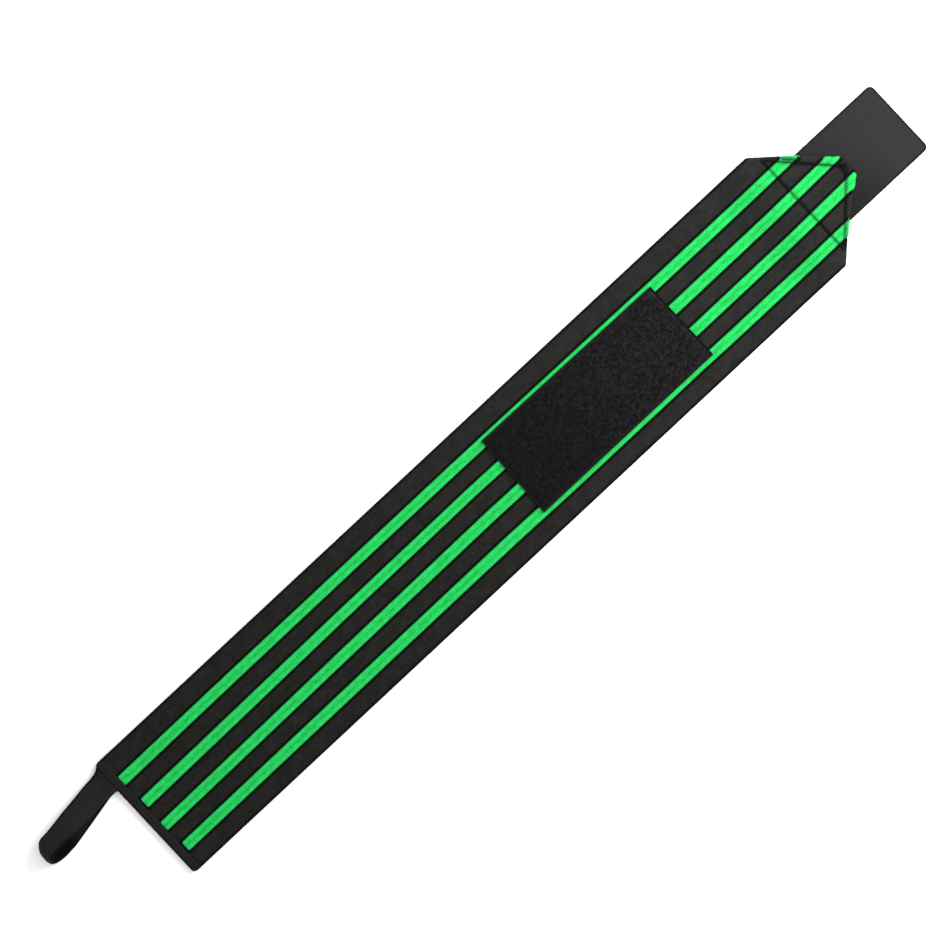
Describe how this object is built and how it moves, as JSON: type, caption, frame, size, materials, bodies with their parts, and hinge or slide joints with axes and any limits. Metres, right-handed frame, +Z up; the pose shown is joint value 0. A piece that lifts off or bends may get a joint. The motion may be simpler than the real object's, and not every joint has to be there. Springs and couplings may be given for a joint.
{
  "type": "wrist wrap",
  "caption": "Flat elastic wrist wrap with woven stripes, a thumb loop, a loop patch on its face and a hook tab at its tip.",
  "frame": {"origin": "middle of the underside of the wrap's box, on the surface it lies on", "axes": "+X along the band from the thumb loop to the hook tab, +Y across it towards the thumb loop's side, +Z up, out of the striped face"},
  "size_m": [0.616, 0.08, 0.0155],
  "materials": {
    "elastic_webbing": "black woven elastic webbing, matt",
    "stripe_yarn": "bright green woven yarn, slightly lustrous",
    "binding_tape": "black grosgrain binding tape",
    "loop_tape": "black knitted elastic tape",
    "hook_tape": "charcoal nylon hook tape, smooth back",
    "pile_tape": "black brushed loop pile"
  },
  "bodies": {
    "root": {"band": "elastic_webbing", "stripe_1": "stripe_yarn", "stripe_2": "stripe_yarn", "stripe_3": "stripe_yarn", "stripe_4": "stripe_yarn", "end_binding": "binding_tape", "thumb_loop": "loop_tape", "hook_tab": "hook_tape", "loop_patch": "pile_tape"}
  },
  "joints": []
}
